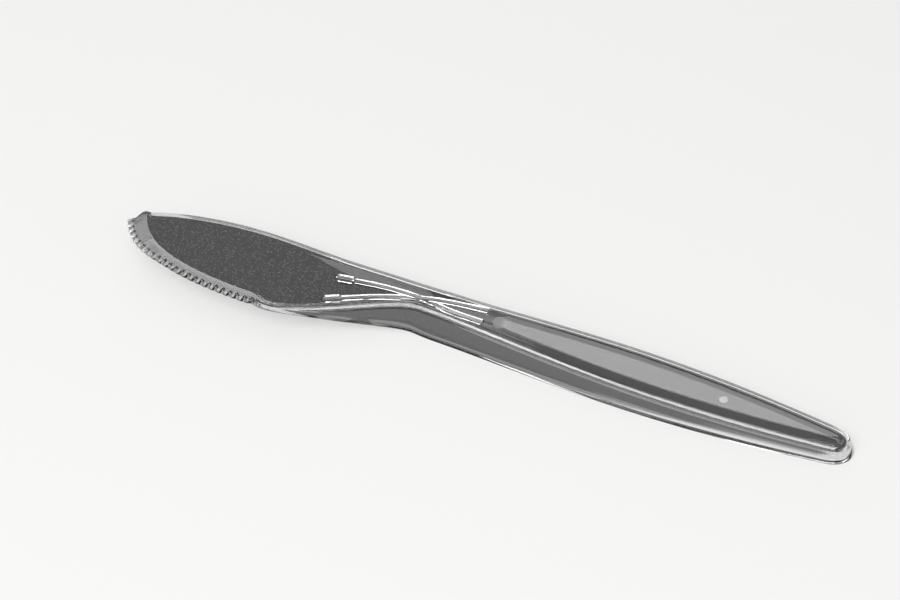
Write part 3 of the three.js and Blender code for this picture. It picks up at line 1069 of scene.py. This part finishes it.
# %% [markdown]
# ## Floor
#
# A sheet of near-white paper carries the soft shadow and fills the picture. Lit by the lamps alone
# it would be uneven, and the knife would mirror that. So it has an even glow for the rays that
# reach it by way of the plastic. For rays straight from the camera the glow is only a part, and the
# lit paper under it keeps the shadow.

# %% Paper floor
FLOOR_SIZE = 6.0  # metres
FLOOR_GAP = 0.02  # mm under the knife
FLOOR_COLOUR = "F6F6F5"
PAPER_ROUGHNESS = 0.9
GLOW_STRENGTH = 0.7
GLOW_SHARE = 0.75  # of what the camera sees; the rest keeps the shadow

bm = bmesh.new()
bmesh.ops.create_grid(bm, x_segments=1, y_segments=1, size=FLOOR_SIZE / 2)
floor = scene_object("floor", bm)
floor.location.z = cad_box[0][2] - FLOOR_GAP * MM
paper, tree = new_material("floor_paper")
lit = add_node(tree, "ShaderNodeBsdfPrincipled", inputs={
    "Base Color": linear(FLOOR_COLOUR),
    "Roughness": PAPER_ROUGHNESS,
    "Specular IOR Level": 0.0,
})
glow = add_node(tree, "ShaderNodeEmission", inputs={
    "Color": linear(FLOOR_COLOUR),
    "Strength": GLOW_STRENGTH,
})
ray = add_node(tree, "ShaderNodeLightPath").outputs
by_camera = add_node(tree, "ShaderNodeMath", {"operation": "MULTIPLY"}, {
    0: ray["Is Camera Ray"],
    1: GLOW_SHARE,
})
by_plastic = add_node(tree, "ShaderNodeMath", {"operation": "MAXIMUM"}, {
    0: ray["Is Glossy Ray"],
    1: ray["Is Transmission Ray"],
})
glowing = add_node(tree, "ShaderNodeMath", {"operation": "MAXIMUM"}, {
    0: by_camera.outputs[0],
    1: by_plastic.outputs[0],
})
shader = add_node(tree, "ShaderNodeMixShader", inputs={
    0: glowing.outputs[0],
    1: lit.outputs["BSDF"],
    2: glow.outputs["Emission"],
})
add_node(tree, "ShaderNodeOutputMaterial", inputs={"Surface": shader.outputs["Shader"]})
floor.data.materials.append(paper)
print("floor:", FLOOR_SIZE, "metres wide")

# %% [markdown]
# ## Light
#
# Clear plastic is drawn by what it mirrors and bends: each bright line on the knife is a lamp, and
# each dark band a gap between lamps. One large lamp would light it evenly and lose its form. So
# eleven soft boxes stand a metre away, most of them in a direction that one face mirrors or bends
# towards the camera, and a dim world fills the gaps. Strengths and directions were matched to the
# bright and dark places of the knife in the photograph.

# %% A soft box that faces the knife
LAMP_TARGET = Vector((0, 0, 5)) * MM
LAMP_DISTANCE = 1.0  # metres


def softbox(name, azimuth, elevation, width, height, radiance, roll):
    """A rectangular lamp that faces the knife. Azimuth 0 is behind it, 90 at the handle's end."""
    turn, rise = math.radians(azimuth), math.radians(elevation)
    level = math.cos(rise)
    facing = Vector((math.sin(turn) * level, math.cos(turn) * level, math.sin(rise)))
    across = Vector((math.cos(turn), -math.sin(turn), 0))
    lamp = bpy.data.lights.new(name, "AREA")
    lamp.shape = "RECTANGLE"
    lamp.size, lamp.size_y = width, height
    lamp.energy = radiance * math.pi * width * height
    made = bpy.data.objects.new(name, lamp)
    turned = Matrix((across, facing.cross(across), facing)).transposed().to_4x4()
    made.matrix_world = turned @ Matrix.Rotation(math.radians(roll), 4, "Z")
    made.location = LAMP_TARGET + facing * LAMP_DISTANCE
    bpy.context.scene.collection.objects.link(made)
    print(name, "has", round(lamp.energy, 2), "watts")


# %% Lamps and world
# Name, azimuth and elevation in degrees, width and height in metres, radiance, roll in degrees
LAMPS = [
    ("front_softbox", 180, 53, 1.2, 0.6, 7.0, 0),  # main light from the camera's side
    ("crest_softbox", -127, 63, 0.95, 0.28, 1.2, -38),  # the bright line along the near crest
    ("overhead_softbox", 150, 80, 0.4, 0.3, 2.7, 0),  # the rounds, from above
    ("bevel_softbox", -58, 58, 0.3, 0.3, 3.4, 0),  # mirrored by the bevel
    ("tip_softbox", -56, 43, 0.3, 0.22, 2.0, 0),  # mirrored by the bevel near the tip
    ("handle_strip", -2.8, 46.5, 0.38, 0.14, 2.6, 0),  # mirrored by the flat of the handle
    ("neck_strip", -21, 46.5, 0.06, 0.14, 1.0, 0),  # mirrored by the flat at the neck
    ("shoulder_softbox", -23, 35, 0.25, 0.19, 1.6, 0),  # mirrored by the fall at the shoulder
    ("low_back_softbox", -15, 13, 1.0, 0.4, 1.5, 0),  # the far edge
    ("low_front_softbox", 182, 18, 1.6, 0.35, 2.4, 0),  # the near wall and its foot
    ("low_right_softbox", 100, 15, 1.0, 0.3, 2.6, 0),  # the handle's end
]
WORLD_COLOUR, WORLD_STRENGTH = "F6F6F7", 0.38

for lamp in LAMPS:
    softbox(*lamp)
world = bpy.data.worlds.new("dim_studio")
bpy.context.scene.world = world
world.use_nodes = True
background = world.node_tree.nodes["Background"].inputs
background["Color"].default_value = linear(WORLD_COLOUR)
background["Strength"].default_value = WORLD_STRENGTH

# %% [markdown]
# ## Camera
#
# The camera stands where the photograph's did: its direction, distance and lens were fitted to the
# outline of the knife in a frame of 900 by 600 pixels. The Standard view leaves colours as they are
# written.

# %% Camera and view
AZIMUTH, ELEVATION, DISTANCE = 24.24, 45.5, 0.6  # degrees, and metres from the aim
AIM = Vector((-9.505, 7.852, 5.0)) * MM  # what lies in the middle of the picture
FOCAL_PIXELS, FRAME_PIXELS = 2709.7, 900  # focal length and frame width
SENSOR = 36  # mm
CLIP_NEAR, CLIP_FAR = 0.01, 20  # metres

turn, rise = math.radians(AZIMUTH), math.radians(ELEVATION)
level = math.cos(rise)
back = Vector((math.sin(turn) * level, -math.cos(turn) * level, math.sin(rise)))
lens = bpy.data.cameras.new("camera")
lens.sensor_width = SENSOR
lens.lens = FOCAL_PIXELS / FRAME_PIXELS * SENSOR
lens.clip_start, lens.clip_end = CLIP_NEAR, CLIP_FAR
camera = bpy.data.objects.new("camera", lens)
camera.location = AIM + back * DISTANCE
camera.rotation_mode = "QUATERNION"
camera.rotation_quaternion = back.to_track_quat("Z", "Y")
bpy.context.scene.collection.objects.link(camera)
bpy.context.scene.camera = camera
bpy.context.scene.view_settings.view_transform = "Standard"
print("lens in mm:", round(lens.lens, 1), "distance in m:", DISTANCE)
